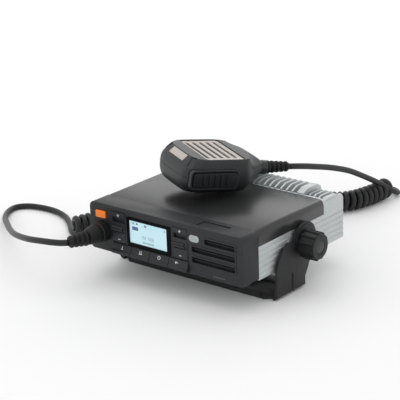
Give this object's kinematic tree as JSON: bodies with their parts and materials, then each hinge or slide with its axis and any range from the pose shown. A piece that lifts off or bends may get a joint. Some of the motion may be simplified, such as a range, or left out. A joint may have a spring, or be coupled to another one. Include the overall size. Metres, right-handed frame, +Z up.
{
  "type": "mobile radio transceiver",
  "caption": "Compact mobile transceiver with a finned aluminium chassis, display and keys on its front, a tilting bracket with thumb knobs, and a palm microphone on a curly cord.",
  "frame": {"origin": "centre of the bracket's four bolt holes, at the bracket's underside, which is the surface that the set stands on", "axes": "+X to the right of a person facing the front panel, +Y from the front panel to the heatsink, +Z up"},
  "size_m": [0.3591, 0.3593, 0.1059],
  "materials": {
    "cast_aluminium": "bead-blasted clear anodised",
    "cover_paint": "fine matt powder coat",
    "panel_plastic": "fine spark-eroded grain",
    "window_acrylic": "clear acrylic with a black printed border",
    "black_foam": "closed-cell foam",
    "lcd_glass": "lit pale cyan display",
    "lens_plastic": "frosted light guide",
    "speaker_cloth": "woven",
    "speaker_steel": "pressed, painted",
    "connector_plastic": "moulded",
    "circuit_board": "solder mask",
    "screw_steel": "zinc plated",
    "dark_steel": "blackened",
    "connector_metal": "nickel plated",
    "black_rubber": "moulded, matt",
    "orange_plastic": "satin",
    "key_plastic": "satin",
    "bracket_paint": "fine matt powder coat",
    "knob_plastic": "moulded nylon",
    "knob_cap_plastic": "moulded",
    "contact_gold": "gold flashed",
    "cord_jacket": "satin polyurethane",
    "mic_plastic": "satin moulded",
    "grille_paint": "warm grey satin",
    "ptt_rubber": "moulded"
  },
  "bodies": {
    "radio": {"chassis": "cast_aluminium", "top_cover": "cover_paint", "front_panel": "panel_plastic", "display_window": "window_acrylic", "display_gasket": "black_foam", "lcd_module": "lcd_glass", "indicator_lens": "lens_plastic", "speaker_mesh": "speaker_cloth", "speaker": "speaker_steel", "mic_jack": "connector_plastic", "keypad_board": "circuit_board", "main_board": "circuit_board", "rf_shield": "screw_steel", "power_transistor": "connector_plastic", "board_screws": "screw_steel", "bottom_screws": "dark_steel", "antenna_connector": "connector_metal", "power_inlet": "connector_plastic", "data_connector": "connector_plastic", "pivot_washers": "black_rubber", "plug_shell": "black_rubber", "plug_contacts": "contact_gold", "plug_strain_relief": "black_rubber", "cord_front_loop": "cord_jacket", "cord_coil": "cord_jacket", "cord_mic_lead": "cord_jacket"},
    "emergency_key": {"emergency_key": "orange_plastic"},
    "key_1": {"key_1": "key_plastic"},
    "key_2": {"key_2": "key_plastic"},
    "key_ok": {"key_ok": "key_plastic"},
    "key_back": {"key_back": "key_plastic"},
    "volume_rocker": {"volume_rocker": "key_plastic"},
    "channel_rocker": {"channel_rocker": "key_plastic"},
    "bracket": {"mounting_bracket": "bracket_paint"},
    "knob_left": {"knob_left": "knob_plastic", "stud_left": "screw_steel", "knob_cap_left": "knob_cap_plastic"},
    "knob_right": {"knob_right": "knob_plastic", "stud_right": "screw_steel", "knob_cap_right": "knob_cap_plastic"},
    "plug_lock_ring": {"plug_lock_ring": "connector_plastic"},
    "microphone": {"mic_front_shell": "mic_plastic", "mic_back_shell": "mic_plastic", "mic_grille": "grille_paint", "mic_cloth": "speaker_cloth", "mic_label_plate": "grille_paint", "ptt_frame": "mic_plastic", "ptt_switch": "connector_plastic", "mic_capsule": "screw_steel", "mic_board": "circuit_board", "mic_screws": "dark_steel", "hanger_stud": "screw_steel", "mic_strain_relief": "black_rubber"},
    "ptt_button": {"ptt_button": "ptt_rubber"}
  },
  "joints": [
    {"name": "bracket_tilt", "type": "hinge", "parent": "radio", "child": "bracket", "pos_m": [0, 0.0052, 0.0396], "axis": [1, 0, 0], "range_deg": [-20, 20]},
    {"name": "knob_left_turn", "type": "hinge", "parent": "radio", "child": "knob_left", "pos_m": [-0.095, 0.0052, 0.0396], "axis": [-1, 0, 0], "continuous": true},
    {"name": "knob_right_turn", "type": "hinge", "parent": "radio", "child": "knob_right", "pos_m": [0.095, 0.0052, 0.0396], "axis": [1, 0, 0], "continuous": true},
    {"name": "emergency_press", "type": "slide", "parent": "radio", "child": "emergency_key", "axis": [0, 1, 0], "range_m": [0, 0.001], "stiffness_N_per_m": 1500},
    {"name": "key_1_press", "type": "slide", "parent": "radio", "child": "key_1", "axis": [0, 1, 0], "range_m": [0, 0.001], "stiffness_N_per_m": 1500},
    {"name": "key_2_press", "type": "slide", "parent": "radio", "child": "key_2", "axis": [0, 1, 0], "range_m": [0, 0.001], "stiffness_N_per_m": 1500},
    {"name": "key_ok_press", "type": "slide", "parent": "radio", "child": "key_ok", "axis": [0, 1, 0], "range_m": [0, 0.001], "stiffness_N_per_m": 1500},
    {"name": "key_back_press", "type": "slide", "parent": "radio", "child": "key_back", "axis": [0, 1, 0], "range_m": [0, 0.001], "stiffness_N_per_m": 1500},
    {"name": "volume_rock", "type": "hinge", "parent": "radio", "child": "volume_rocker", "pos_m": [-0.05, -0.066, 0.048], "axis": [1, 0, 0], "range_deg": [-4, 4], "stiffness_Nm_per_rad": 0.3},
    {"name": "channel_rock", "type": "hinge", "parent": "radio", "child": "channel_rocker", "pos_m": [0.0168, -0.066, 0.048], "axis": [1, 0, 0], "range_deg": [-4, 4], "stiffness_Nm_per_rad": 0.3},
    {"name": "plug_lock_turn", "type": "hinge", "parent": "radio", "child": "plug_lock_ring", "pos_m": [-0.067, -0.0734, 0.042], "axis": [0, 1, 0], "range_deg": [0, 60]},
    {"name": "microphone_lift", "type": "slide", "parent": "radio", "child": "microphone", "axis": [0, 0, 1], "range_m": [0, 0.04]},
    {"name": "ptt_press", "type": "slide", "parent": "microphone", "child": "ptt_button", "axis": [-0.909, 0.4137, 0.0517], "range_m": [0, 0.0015], "stiffness_N_per_m": 1500}
  ]
}
